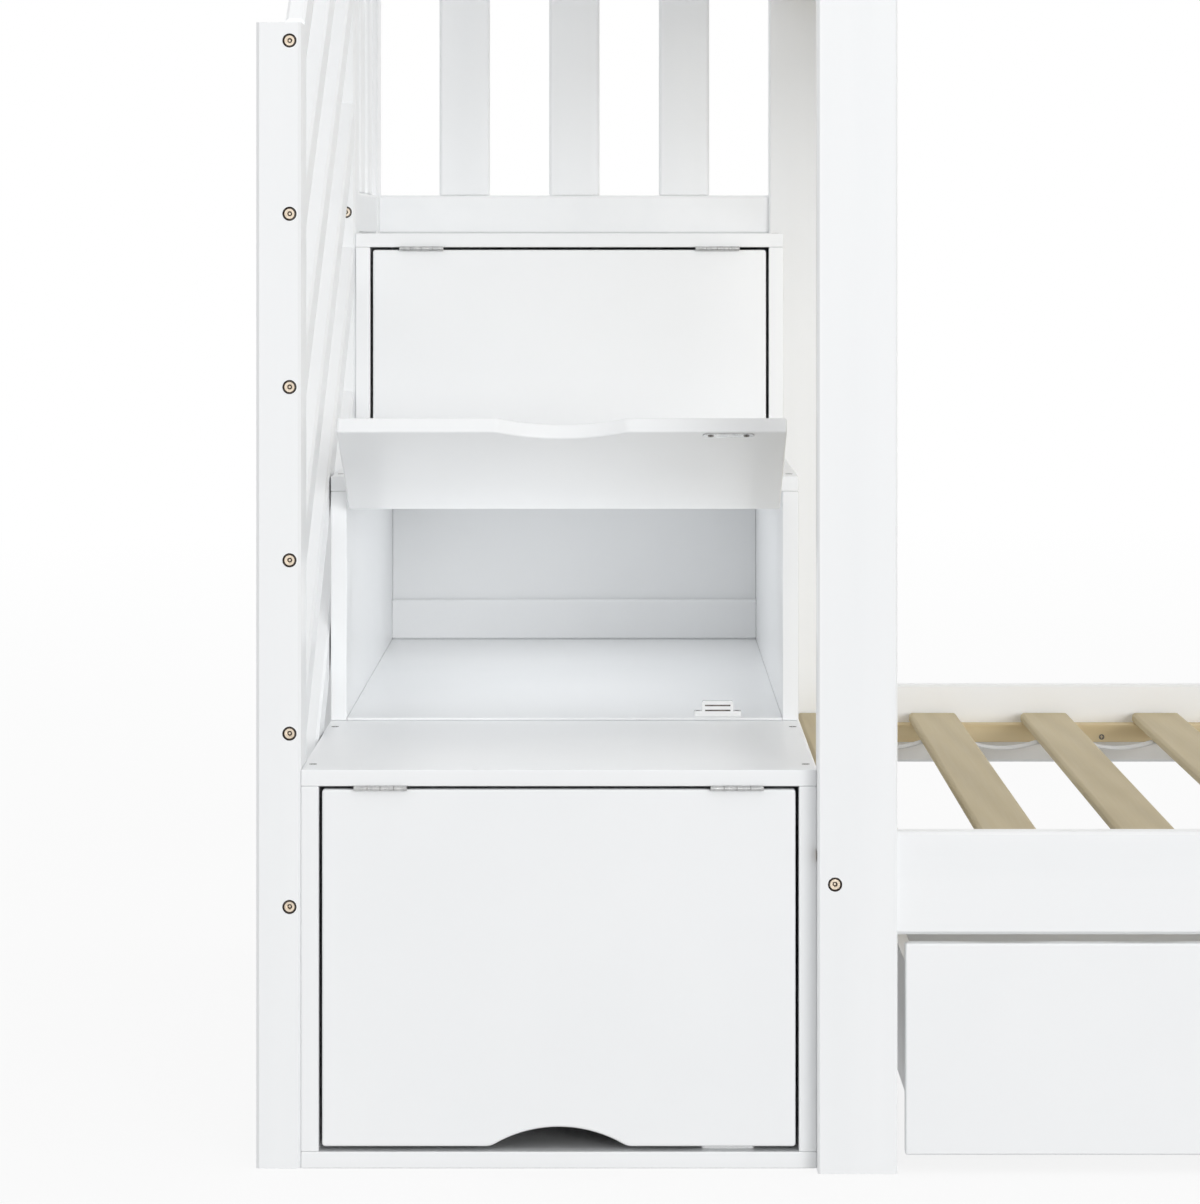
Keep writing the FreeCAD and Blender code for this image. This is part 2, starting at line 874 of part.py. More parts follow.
def slide_point(along, lift):
    """A point on the straight run: along it from the crest, and lifted square to it."""
    steep = math.radians(slide_angle)
    crest_x = slide_lip_end + slide_crest_radius * math.sin(steep)
    crest_z = slide_top - slide_crest_radius * (1 - math.cos(steep))
    x = crest_x + along * math.cos(steep) + lift * math.sin(steep)
    return V(x, 0, crest_z - along * math.sin(steep) + lift * math.cos(steep))


def slide_line(lift, start):
    """Edges of a line that follows the sliding surface at a fixed height above it."""
    steep = math.radians(slide_angle)
    straight = slide_straight()
    crest = V(slide_lip_end, 0, slide_top - slide_crest_radius)
    sweep = slide_point(straight, slide_sweep_radius)

    def on_crest(angle):
        reach = slide_crest_radius + lift
        return crest + V(reach * math.sin(angle), 0, reach * math.cos(angle))

    def on_sweep(angle):
        reach = slide_sweep_radius - lift
        return sweep - V(reach * math.sin(angle), 0, reach * math.cos(angle))

    return [
        segment(V(start, 0, slide_top + lift), on_crest(0)),
        arc(on_crest(0), on_crest(steep / 2), on_crest(steep)),
        segment(on_crest(steep), on_sweep(steep)),
        arc(on_sweep(steep), on_sweep(steep / 2), on_sweep(0)),
        segment(on_sweep(0), on_sweep(0) + V(slide_runout, 0, 0)),
    ]


def slide_strip(high, low, start, y):
    """A strip of constant depth along the slide, between two heights above its surface."""
    upper = slide_line(high, start)
    lower = slide_line(low, start)
    ends = [
        segment(upper[0].Vertexes[0].Point, lower[0].Vertexes[0].Point),
        segment(upper[-1].Vertexes[1].Point, lower[-1].Vertexes[1].Point),
    ]
    outline = Part.Wire(Part.__sortEdges__(upper + lower + ends))
    strip = Part.Face(outline).extrude(V(0, y[1] - y[0], 0))
    strip.translate(V(0, y[0], 0))
    return strip


def slide_sides_y():
    front = slide_front_offset
    rear = front + slide_width
    return ((front, front + slide_side_thickness), (rear - slide_side_thickness, rear))


def slide_inner_y():
    front, rear = slide_sides_y()
    return (front[1], rear[0])


def slide_end():
    return slide_line(-slide_side_drop, slide_start)[-1].Vertexes[1].Point.x


def slide_side(y):
    """A side board with rounded upper ends, whose level run-out stands on the floor."""
    board = slide_strip(slide_side_rise, -slide_side_drop, end_rail_spans[1][1], y)
    corners = [edge for edge in edges_along(board, V(0, 1, 0)) if is_upper_end(edge, board)]
    return board.makeFillet(slide_end_round, corners)


def is_upper_end(edge, board):
    """True for the upper corners at the two ends of a side board."""
    reach = board.BoundBox
    at_top = edge.BoundBox.ZMin > slide_top and edge.BoundBox.XMax < reach.XMin + slide_end_round
    at_foot = edge.BoundBox.ZMin > slide_side_drop and edge.BoundBox.XMin > reach.XMax - slide_end_round
    return at_top or at_foot


def slide_bars():
    """Cross bars that carry the chute between the side boards."""
    y = slide_inner_y()
    bars = []
    for share in slide_bar_places_shares:
        middle = slide_straight() * share
        corners = []
        for along, lift in ((-1, 0), (1, 0), (1, 1), (-1, 1)):
            depth = -chute_thickness - slide_bar_thickness * lift
            corners.append(slide_point(middle + along * slide_bar_width / 2, depth))
        bar = polygon_prism(corners, V(0, y[1] - y[0], 0))
        bar.translate(V(0, y[0], 0))
        bars.append(bar)
    return bars


def slide_hooks():
    """Bent steel hooks over the end rail, under the lip of the chute."""
    inner, outer = end_rail_spans[1]
    front, rear = slide_inner_y()
    top = upper_rail_top + hook_thickness
    corners = [
        V(inner - hook_thickness, 0, upper_rail_top - hook_inner_drop),
        V(inner - hook_thickness, 0, top),
        V(outer + hook_thickness, 0, top),
        V(outer + hook_thickness, 0, upper_rail_top - hook_outer_drop),
        V(outer, 0, upper_rail_top - hook_outer_drop),
        V(outer, 0, upper_rail_top),
        V(inner, 0, upper_rail_top),
        V(inner, 0, upper_rail_top - hook_inner_drop),
    ]
    hooks = []
    for place in (front + hook_inset, rear - hook_inset - hook_width):
        hook = polygon_prism(corners, V(0, hook_width, 0))
        hook.translate(V(0, place, 0))
        hooks.append(hook)
    return hooks


# Writing the pieces, with the origin on the floor below the middle of the whole object

origin = V((stair_left - stair_post_width + slide_end()) / 2, bed_depth / 2, 0)


def save(name, solids):
    shape = solids[0].copy() if len(solids) == 1 else Part.makeCompound(solids)
    shape.translate(V(0, 0, 0) - origin)
    shape.exportStep("parts/" + name + ".step")


bed_places = bed_bolt_places()
stair_places = stair_bolt_places()
bed_seats = [bolt_seat(*place) for place in bed_places]
stair_seats = [bolt_seat(*place) for place in stair_places]

save("front_left_post", [bed_post(0, 0, bed_seats)])
save("front_right_post", [bed_post(post_right, 0, bed_seats)])
save("rear_left_post", [bed_post(0, rear_post_front, bed_seats)])
save("rear_right_post", [bed_post(post_right, rear_post_front, bed_seats)])
for level, bottom in zip(("lower", "upper"), rail_bottoms):
    save(level + "_front_rail", [side_rail(side_rail_spans[0], bottom, bed_seats)])
    save(level + "_rear_rail", [side_rail(side_rail_spans[1], bottom, bed_seats)])
    save(level + "_end_rails", [end_rail(span, bottom, bed_seats) for span in end_rail_spans])
    save(level + "_slats", slats(bottom))
save("slat_ledgers", ledgers())
save("slat_webbing", bands())
save("centre_beams", centre_beams())
save("guard_gate_posts", gate_posts())
save("guard_top_rails", guard_top_rails())
save("guard_slats", guard_slats())
save("headboard_rail", [headboard_rail()])
save("headboard_slats", headboard_slat_row())

newel, centre_post, rear_post = stair_post_fronts()
save("stair_newel_post", [stair_post(newel, newel_height, stair_seats)])
save("stair_middle_post", [stair_post(centre_post, post_height, stair_seats)])
save("stair_rear_post", [stair_post(rear_post, post_height, stair_seats)])
save("handrail_slats", hand_slats(stair_seats))
save("stair_guard_rails", stair_guard_rails(stair_seats))
save("stair_guard_slats", stair_guard_slats())
save("connector_bolts", [bolt(*place) for place in bed_places + stair_places])

save("step_1_base", [step_base()])
save("step_liners", step_liners())
save("step_back_panels", back_panels())
save("step_back_rails", back_rails())
save("hinge_fixed_leaves", fixed_hinges())
save("magnetic_catches", [magnetic_catch(step) for step in range(len(tread_tops))])
for step in range(len(tread_tops)):
    label = "step_" + str(step + 1)
    save(label + "_tread", [step_tread(step)])
    save(label + "_sides", step_sides(step))
    save(label + "_door", [door(step)])
    save(label + "_door_hardware", door_hardware(step))

for place, label in enumerate(("left_drawer", "right_drawer")):
    save(label + "_front", [drawer_front(place)])
    save(label + "_box", drawer_walls(place) + drawer_floor(place))
    rows = caster_rows(place)
    centres = caster_centres(place)
    save(label + "_casters", [caster_fork(centre, row) for row in rows for centre in centres])
    for row, end in zip(rows, ("front", "rear")):
        save(label + "_" + end + "_wheels", [caster_wheel(centre, row) for centre in centres])

save("slide_chute", [slide_strip(0, -chute_thickness, slide_start, slide_inner_y())])
save("slide_sides", [slide_side(y) for y in slide_sides_y()])
save("slide_cross_bars", slide_bars())
save("slide_hooks", slide_hooks())
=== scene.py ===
"""Looks of the bunk bed with storage stairs and slide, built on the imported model, in metres."""

import json
import math

import bmesh
import bpy
from mathutils import Matrix, Vector


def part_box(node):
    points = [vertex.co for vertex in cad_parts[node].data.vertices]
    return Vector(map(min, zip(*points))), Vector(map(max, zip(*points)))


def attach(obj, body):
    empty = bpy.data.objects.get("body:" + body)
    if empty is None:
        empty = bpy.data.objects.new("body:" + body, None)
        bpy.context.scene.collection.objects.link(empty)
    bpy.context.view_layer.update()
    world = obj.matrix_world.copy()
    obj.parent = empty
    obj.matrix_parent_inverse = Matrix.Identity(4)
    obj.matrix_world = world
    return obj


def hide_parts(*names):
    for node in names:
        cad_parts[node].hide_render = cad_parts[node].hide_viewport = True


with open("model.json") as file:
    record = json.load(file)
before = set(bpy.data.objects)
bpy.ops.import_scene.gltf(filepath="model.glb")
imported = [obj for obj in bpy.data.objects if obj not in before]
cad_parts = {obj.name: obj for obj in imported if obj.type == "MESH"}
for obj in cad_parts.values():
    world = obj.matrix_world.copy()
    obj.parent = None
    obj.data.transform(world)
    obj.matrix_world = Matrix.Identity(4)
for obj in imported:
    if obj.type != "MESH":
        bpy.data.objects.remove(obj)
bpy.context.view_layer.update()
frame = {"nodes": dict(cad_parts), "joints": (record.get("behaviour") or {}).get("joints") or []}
nodes = frame["nodes"]
joints = {joint["name"]: joint for joint in frame["joints"]}

# Photograph: where known places of the bed lie on it, in its own pixels
photo_width = 1200
photo_height = 1204
axis_pixel = (622, 240)
newel_left_pixel = 256
stair_foot_pixel = 1168.5
pixels_per_metre = 1044

# Camera: its sensor in millimetres, and its distance to the front of the stairs
sensor_width = 36
camera_reach = 4.3

# Edges: how far sharp edges are rounded over, and which ones count as sharp
weld_reach = 0.00002
board_round = 0.0012
panel_round = 0.0022
timber_round = 0.0018
# The hinges' rounded edges take dark steel: painted shade along them
hinge_round = 0.0005
edge_segments = 2
panel_segments = 3
flat_angle = math.radians(0.5)
edge_angle = math.radians(40)

# Slats and the webbing that spaces them
slat_count = 14
slat_width = 0.060
band_width = 0.036
band_thickness = 0.001
band_sag = 0.007
band_gap_points = 8
band_cross_points = 4

# Screw heads: the shares are of a head's radius
screw_points = 24
cross_reach_share = 0.62
cross_width_share = 0.14
cross_depth_share = 0.45
cross_floor_share = 0.62
head_taper_share = 0.55
head_depth_share = 0.6
head_proud = 0.0002

# Screws: where they sit on the treads, the ledgers and the doors' strike plates
side_thickness = 0.017
tread_screw_radius = 0.004
tread_screw_front = 0.046
tread_screw_rear = 0.060
ledger_width = 0.030
ledger_height = 0.022
ledger_screw_share = 0.7
ledger_screw_radius = 0.0035
ledger_first_gap = 2
ledger_gap_step = 2
plate_screw_radius = 0.0031
plate_screw_spread = 0.018
plate_edge_reach = 0.007
plate_thickness = 0.001
plate_offset = 0.079

# Magnetic catches: the screws in their ears and the steel poles in their front slots, their dark steel
# partly painted shade of the slots
catch_body_width = 0.033
catch_ear_reach = 0.0085
catch_ear_height = 0.005
catch_screw_radius = 0.0026
pole_slot_count = 2
pole_slot_height = 0.0016
pole_slot_depth = 0.002
pole_slot_margin = 0.003
pole_sink = 0.0002
pole_gap = 0.00005

# Bolts: their heads and sockets, and the near-black sheets of painted shade in their holes, on their
# heads' rims and on their sockets' floors
bolt_head_radius = 0.0056
bolt_head_height = 0.004
bolt_seat_gap = 0.0012
bolt_sink = 0.0008
bolt_socket_radius = 0.0024
bolt_socket_depth = 0.003
bolt_socket_bright_share = 0.45
bolt_rim_shade_share = 0.86
head_reach_share = 0.9
# How far the painted shade sheets stand off what they cover, and where the one on the hole's wall starts
shade_sheet_gap = 0.00005
shade_sheet_start = 0.0003

# Studio: light levels, with angles in degrees, the floor and how white it is seen
ambient_level = 0.81
lamps = {
    "key": {"level": 1.90, "rise": 2, "turn": 22, "spread": 30},
    "back": {"level": 0.25, "rise": 25, "turn": 165, "spread": 90},
}
box_lamp_width_share = 0.8
lid_lamp_level = 0.65
lid_lamp_depth_share = 0.8
lid_lamp_drop = 0.008
door_lamp_level = 0.10
door_lamp_depth = 0.12
door_lamp_inset = 0.045
door_lamp_drop = 0.12
door_lamp_lift = -135
floor_light_level = 0.40
floor_half = 40
floor_drop = 0.0004
floor_glow_share = 0.84
floor_near = 3
floor_far = 9

# Finishes, below. A pattern is its waves per metre, its detail and, where given, the share that each
# finer wave keeps. A relief is the strength and the depth of a bump. A roughness runs from smooth to
# rough and tones from dark to light, and stop shares say where along a pattern the tones lie.
noise_keep_share = 0.5
noise_span_shares = (0.3, 0.7)

# White paint on board, on timber and on the chute
paint_tones = ((0.880, 0.894, 0.905), (0.911, 0.922, 0.931))
paint_stop_shares = (0.25, 0.6)
paint_specular = 0.5
board_tone = (3.0, 3.0)
board_peel = (650.0, 2.0)
board_wave = (9.0, 1.0)
board_sheen = (30.0, 4.0)
board_roughness = (0.29, 0.34)
board_peel_relief = (0.10, 0.0003)
board_wave_relief = (0.02, 0.002)
timber_stretch_share = 0.045
timber_grain = (95.0, 5.0, 0.6)
timber_tone = (14.0, 3.0)
timber_sheen = (40.0, 3.0)
timber_peel = (520.0, 1.0)
timber_roughness = (0.30, 0.38)
timber_grain_relief = (0.16, 0.0006)
timber_peel_relief = (0.08, 0.0003)
chute_stop_shares = (0.3, 0.6)
chute_tone = (2.0, 2.0)
chute_scuff = (130.0, 4.0)
chute_scuff_shares = (0.06, 1.0, 0.06)
chute_wave = (7.0, 1.0)
chute_roughness = (0.14, 0.24)
chute_wave_relief = (0.04, 0.003)
chute_coat_share = 0.4
chute_coat_roughness = 0.08

# Bare wood, with the axis that each kind's grain follows
wood_rings = {"Scale": 16.0, "Distortion": 2.4, "Detail": 3.0, "Detail Scale": 1.4}
wood_fibre = (320.0, 4.0, 0.65)
wood_patch = (5.0, 2.0)
wood_roughness = (0.55, 0.72)
wood_relief = (0.25, 0.0005)
ring_stretch_share = 0.06
fibre_stretch_share = 0.02
fibre_share = 0.35
patch_share = 0.45
slat_shift = 9.0
woods = {
    "slat_wood": {
        "stop_shares": (0.2, 0.5, 0.8),
        "tones": ((0.535, 0.447, 0.275), (0.575, 0.483, 0.300), (0.605, 0.512, 0.322)),
        "axis": 1,
    },
    # Pale pine for the ledgers and centre beams, its tones raised as painted light to make up for the
    # shade beneath the slats
    "ledger_wood_painted_light": {
        "stop_shares": (0.15, 0.5, 0.85),
        "tones": ((0.64, 0.50, 0.28), (0.74, 0.60, 0.36), (0.80, 0.67, 0.43)),
        "axis": 0,
    },
    # Near-black painted shade for the bolt holes, the heads' rims and the sockets, far darker than the
    # wood's own tone
    "painted_hole_shade": {
        "stop_shares": (0.15, 0.5, 0.85),
        "tones": ((0.020, 0.010, 0.006), (0.035, 0.020, 0.012), (0.05, 0.03, 0.02)),
        "axis": 2,
    },
}

# Metals, with the axis of their drawing marks
metal_marks = (2600.0, 3.0)
metal_cloud = (160.0, 3.0)
metal_relief = (0.08, 0.0001)
mark_stretch_share = 0.05
metals = {
    "zinc_plate": {
        "tones": ((0.44, 0.445, 0.445), (0.58, 0.58, 0.575)),
        "roughness": (0.20, 0.34),
        "axis": 0,
    },
    "pale_brass": {
        "tones": ((0.60, 0.51, 0.40), (0.72, 0.62, 0.50)),
        "roughness": (0.24, 0.36),
        "axis": 2,
    },
    # Dark steel for the screws, and painted shade on the hinges' edges and in the catches' slots
    "dark_steel_and_shade": {
        "tones": ((0.10, 0.09, 0.08), (0.20, 0.18, 0.16)),
        "roughness": (0.30, 0.45),
        "axis": 0,
    },
}

# Plastics and coatings, with the pattern of their grain, and near-black painted shade for the screws'
# cross hollows
plastic_cloud = (45.0, 2.0)
plastic_relief = (0.12, 0.0002)
plastics = {
    "coated_steel": {
        "tones": ((0.74, 0.75, 0.76), (0.82, 0.83, 0.84)),
        "roughness": (0.30, 0.42),
        "grain": (700.0, 2.0),
    },
    "white_plastic": {
        "tones": ((0.93, 0.935, 0.935), (0.95, 0.955, 0.955)),
        "roughness": (0.14, 0.22),
        "grain": (1500.0, 2.0),
    },
    # Painted shade: near black for the hollows of the screws' cross heads
    "painted_recess_shade": {
        "tones": ((0.012, 0.011, 0.010), (0.02, 0.018, 0.016)),
        "roughness": (0.7, 0.85),
        "grain": (900.0, 2.0),
    },
    "black_nylon": {
        "tones": ((0.022, 0.022, 0.024), (0.04, 0.04, 0.042)),
        "roughness": (0.42, 0.58),
        "grain": (1100.0, 2.0),
    },
}

# Woven tape
warp_waves = {"Scale": 230.0}
weft_waves = {"Scale": 300.0}
tape_fuzz = (900.0, 3.0)
tape_tones = ((0.72, 0.73, 0.74), (0.86, 0.86, 0.86))
tape_stop_shares = (0.0, 0.8)
tape_roughness = (0.75, 0.9)
weave_relief = (0.5, 0.0004)
fuzz_relief = (0.2, 0.0002)
tape_sheen_share = 0.25
tape_sheen_roughness = 0.5

# Studio floor
floor_tone = (0.6, 2.0)
floor_tones = ((0.86, 0.86, 0.86), (0.9, 0.9, 0.9))
floor_roughness = 0.9

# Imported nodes, by the finish they get
steps = (1, 2, 3)
drawers = ("left_drawer", "right_drawer")
decks = ("lower", "upper")
board_nodes = ["step_1_base", "step_liners", "step_back_panels", "step_back_rails", "slide_sides"]
board_nodes += [f"step_{step}_{kind}" for step in steps for kind in ("tread", "sides")]
board_nodes += [f"{drawer}_box" for drawer in drawers]
panel_nodes = [f"step_{step}_door" for step in steps] + [f"{drawer}_front" for drawer in drawers]
long_rails = [f"{deck}_{side}_rail" for deck in decks for side in ("front", "rear")]
long_rails += ["guard_top_rails"]
cross_rails = ["lower_end_rails", "upper_end_rails", "headboard_rail", "stair_guard_rails"]
cross_rails += ["handrail_slats", "slide_cross_bars"]
uprights = [f"{end}_{side}_post" for end in ("front", "rear") for side in ("left", "right")]
uprights += ["guard_gate_posts", "guard_slats", "headboard_slats", "stair_guard_slats"]
uprights += [f"stair_{post}_post" for post in ("newel", "middle", "rear")]
hinge_nodes = ["hinge_fixed_leaves"] + [f"step_{step}_door_hardware" for step in steps]
caster_nodes = [f"{drawer}_casters" for drawer in drawers]
wheel_nodes = [f"{drawer}_{end}_wheels" for drawer in drawers for end in ("front", "rear")]


# Node helpers

def connect(tree, socket, value):
    """Links an input to an output, or sets it to a plain value."""
    if isinstance(value, bpy.types.NodeSocket):
        tree.links.new(value, socket)
    else:
        socket.default_value = value


def add(tree, kind, inputs=None, **settings):
    """Adds a node, sets its options and connects its inputs."""
    node = tree.nodes.new(kind)
    for name, value in settings.items():
        setattr(node, name, value)
    for name, value in (inputs or {}).items():
        connect(tree, node.inputs[name], value)
    return node


def wire(tree, shader, **inputs):
    """Connects a shader's inputs, named with _ for each space."""
    for name, value in inputs.items():
        connect(tree, shader.inputs[name.replace("_", " ")], value)


def new_material(name):
    """A principled material: itself, its tree and its shader node."""
    material = bpy.data.materials.new(name)
    material.use_nodes = True
    return material, material.node_tree, material.node_tree.nodes["Principled BSDF"]


def place(tree, scale=(1, 1, 1), offset=None):
    """Where a point lies on its own piece, moved by an offset and then stretched by scale."""
    point = add(tree, "ShaderNodeTexCoord").outputs["Object"]
    if offset is not None:
        point = add(tree, "ShaderNodeVectorMath", {0: point, 1: offset}).outputs["Vector"]
    return add(tree, "ShaderNodeMapping", {"Vector": point, "Scale": scale}).outputs["Vector"]


def drawn_out(axis, share):
    """The scale that draws a pattern out along one axis."""
    return [share if number == axis else 1.0 for number in range(3)]


def noise(tree, point, scale, detail, keep_share=noise_keep_share):
    """A cloudy pattern from 0 to 1."""
    inputs = {"Vector": point, "Scale": scale, "Detail": detail, "Roughness": keep_share}
    return add(tree, "ShaderNodeTexNoise", inputs).outputs["Fac"]


def waves(tree, point, direction, settings):
    """A pattern of bands that follow each other in one direction."""
    inputs = {"Vector": point, **settings}
    return add(tree, "ShaderNodeTexWave", inputs, bands_direction=direction).outputs["Fac"]


def calculate(tree, operation, *values):
    """The result of one operation on numbers."""
    return add(tree, "ShaderNodeMath", dict(enumerate(values)), operation=operation).outputs[0]


def ramp(tree, factor, stop_shares, tones):
    """Colours along a factor, each tone at its own share."""
    node = add(tree, "ShaderNodeValToRGB", {"Fac": factor})
    elements = node.color_ramp.elements
    for share in stop_shares[1:-1]:
        elements.new(share)
    for element, share, tone in zip(elements, stop_shares, tones):
        element.position = share
        element.color = (*tone, 1)
    return node.outputs["Color"]


def between(tree, value, low, high, start=0, end=1):
    """A number that runs from low to high as the value runs from start to end."""
    inputs = {"Value": value, "From Min": start, "From Max": end, "To Min": low, "To Max": high}
    return add(tree, "ShaderNodeMapRange", inputs).outputs["Result"]


def varied(tree, pattern, low, high):
    """A number that runs from low to high over a noise's usual span."""
    return between(tree, pattern, low, high, *noise_span_shares)


def bump(tree, height, strength, depth, under=None):
    """Shading of a shallow relief, on top of another one where given."""
    inputs = {"Height": height, "Strength": strength, "Distance": depth}
    if under is not None:
        inputs["Normal"] = under
    return add(tree, "ShaderNodeBump", inputs).outputs["Normal"]


# Materials

def paint_board():
    """Sprayed white board: a fine orange peel and a slight waver in its gloss."""
    material, tree, shader = new_material("paint_board")
    point = place(tree)
    tone = noise(tree, point, *board_tone)
    peel = noise(tree, point, *board_peel)
    wave = noise(tree, point, *board_wave)
    sheen = noise(tree, point, *board_sheen)
    wire(
        tree,
        shader,
        Base_Color=ramp(tree, tone, paint_stop_shares, paint_tones),
        Roughness=varied(tree, sheen, *board_roughness),
        Normal=bump(tree, peel, *board_peel_relief, bump(tree, wave, *board_wave_relief)),
        Specular_IOR_Level=paint_specular,
    )
    return material


def paint_timber(axis):
    """White paint over solid pine: the grain along the axis telegraphs faintly through the coat."""
    material, tree, shader = new_material("paint_timber_" + "xyz"[axis])
    point = place(tree)
    along = drawn_out(axis, timber_stretch_share)
    grain = noise(tree, place(tree, along), *timber_grain)
    tone = noise(tree, place(tree, along), *timber_tone)
    sheen = noise(tree, point, *timber_sheen)
    peel = noise(tree, point, *timber_peel)
    wire(
        tree,
        shader,
        Base_Color=ramp(tree, tone, paint_stop_shares, paint_tones),
        Roughness=varied(tree, sheen, *timber_roughness),
        Normal=bump(tree, grain, *timber_grain_relief, bump(tree, peel, *timber_peel_relief)),
        Specular_IOR_Level=paint_specular,
    )
    return material


def gloss_paint():
    """The chute's running surface: several flatted coats of clear white gloss."""
    material, tree, shader = new_material("gloss_paint")
    point = place(tree)
    tone = noise(tree, point, *chute_tone)
    scuff = noise(tree, place(tree, chute_scuff_shares), *chute_scuff)
    wave = noise(tree, point, *chute_wave)
    wire(
        tree,
        shader,
        Base_Color=ramp(tree, tone, chute_stop_shares, paint_tones),
        Roughness=varied(tree, scuff, *chute_roughness),
        Normal=bump(tree, wave, *chute_wave_relief),
        Coat_Weight=chute_coat_share,
        Coat_Roughness=chute_coat_roughness,
    )
    return material


def slat_pitch(low, high):
    """Distance from one slat to the next in a deck that reaches from low to high."""
    return (high.x - low.x - slat_width) / (slat_count - 1)


def slat_offset(tree):
    """A random offset for each slat, so that no two show the same grain."""
    low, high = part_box("lower_slats")
    pitch = slat_pitch(low, high)
    along = add(tree, "ShaderNodeSeparateXYZ", {"Vector": place(tree)}).outputs["X"]
    start = calculate(tree, "SUBTRACT", along, low.x - (pitch - slat_width) / 2)
    number = calculate(tree, "FLOOR", calculate(tree, "DIVIDE", start, pitch))
    random = add(tree, "ShaderNodeTexWhiteNoise", {"W": number}, noise_dimensions="1D").outputs["Color"]
    inputs = {0: random, "Scale": slat_shift}
    return add(tree, "ShaderNodeVectorMath", inputs, operation="SCALE").outputs["Vector"]


def bare_wood(name, stop_shares, tones, axis, offset=None):
    """Planed softwood: growth rings drawn out along the axis, fine fibre and open pores. In near-black
    tones it is the painted shade of the bolt holes.
    """
    material, tree, shader = new_material(name)
    shift = None
    if offset is not None:
        shift = offset(tree)
    rings = waves(tree, place(tree, drawn_out(axis, ring_stretch_share), shift), "DIAGONAL", wood_rings)
    fibre = noise(tree, place(tree, drawn_out(axis, fibre_stretch_share), shift), *wood_fibre)
    patch = noise(tree, place(tree, offset=shift), *wood_patch)
    mixed = add(tree, "ShaderNodeMix", {"Factor": fibre_share, "A": rings, "B": fibre}).outputs["Result"]
    tone = add(tree, "ShaderNodeMix", {"Factor": patch_share, "A": mixed, "B": patch}).outputs["Result"]
    wire(
        tree,
        shader,
        Base_Color=ramp(tree, tone, stop_shares, tones),
        Roughness=varied(tree, fibre, *wood_roughness),
        Normal=bump(tree, fibre, *wood_relief),
    )
    return material


def metal(name, tones, roughness, axis):
    """Metal with fine drawing marks along one axis."""
    material, tree, shader = new_material(name)
    marks = noise(tree, place(tree, drawn_out(axis, mark_stretch_share)), *metal_marks)
    cloud = noise(tree, place(tree), *metal_cloud)
    wire(
        tree,
        shader,
        Metallic=1.0,
        Base_Color=ramp(tree, cloud, noise_span_shares, tones),
        Roughness=varied(tree, marks, *roughness),
        Normal=bump(tree, marks, *metal_relief),
    )
    return material


def plastic(name, tones, roughness, grain):
    """Moulded plastic, or a coat of it, with a faint spark-eroded grain. In near-black tones it is the
    painted shade of the screws' cross hollows.
    """
    material, tree, shader = new_material(name)
    point = place(tree)
    grains = noise(tree, point, *grain)
    cloud = noise(tree, point, *plastic_cloud)
    wire(
        tree,
        shader,
        Base_Color=ramp(tree, cloud, noise_span_shares, tones),
        Roughness=varied(tree, grains, *roughness),
        Normal=bump(tree, grains, *plastic_relief),
    )
    return material


def woven_tape():
    """Flat white polyester tape: warp ribs along X crossed by finer weft."""
    material, tree, shader = new_material("woven_tape")
    point = place(tree)
    warp = waves(tree, point, "Y", warp_waves)
    weft = waves(tree, point, "X", weft_waves)
    weave = calculate(tree, "MULTIPLY", warp, weft)
    fuzz = noise(tree, point, *tape_fuzz)
    wire(
        tree,
        shader,
        Base_Color=ramp(tree, weave, tape_stop_shares, tape_tones),
        Roughness=varied(tree, fuzz, *tape_roughness),
        Normal=bump(tree, weave, *weave_relief, bump(tree, fuzz, *fuzz_relief)),
        Sheen_Weight=tape_sheen_share,
        Sheen_Roughness=tape_sheen_roughness,
    )
    return material


board = paint_board()
timber = [paint_timber(axis) for axis in range(3)]
chute_gloss = gloss_paint()
slat_wood = bare_wood("slat_wood", **woods["slat_wood"], offset=slat_offset)
# Pale pine, partly its own tone and partly painted light lifted against the shade under the slats
ledger_wood_painted_light = bare_wood("ledger_wood_painted_light", **woods["ledger_wood_painted_light"])
# Near-black painted shade for the bolt holes, heads' rims and sockets
painted_hole_shade = bare_wood("painted_hole_shade", **woods["painted_hole_shade"])
zinc = metal("zinc_plate", **metals["zinc_plate"])
brass = metal("pale_brass", **metals["pale_brass"])
# Dark steel for the screws, also painted shade on hinge edges and in catch slots
dark_steel_and_shade = metal("dark_steel_and_shade", **metals["dark_steel_and_shade"])
coated_steel = plastic("coated_steel", **plastics["coated_steel"])
white_plastic = plastic("white_plastic", **plastics["white_plastic"])
# Near-black painted shade for the screws' cross hollows
painted_recess_shade = plastic("painted_recess_shade", **plastics["painted_recess_shade"])
black_nylon = plastic("black_nylon", **plastics["black_nylon"])
tape = woven_tape()


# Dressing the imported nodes

def dress(names, material, rounding=None, segments=edge_segments, edge_shade_material=None):
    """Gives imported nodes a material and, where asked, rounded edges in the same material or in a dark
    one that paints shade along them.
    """
    for name in names:
        for slot in nodes[name].material_slots:
            slot.material = material
        if rounding is not None:
            soften(nodes[name], rounding, segments)
        if edge_shade_material is not None:
            # A dark material on the rounded edges paints shade along them
            nodes[name].data.materials.append(edge_shade_material)
            nodes[name].modifiers["edge"].material = len(nodes[name].material_slots) - 1


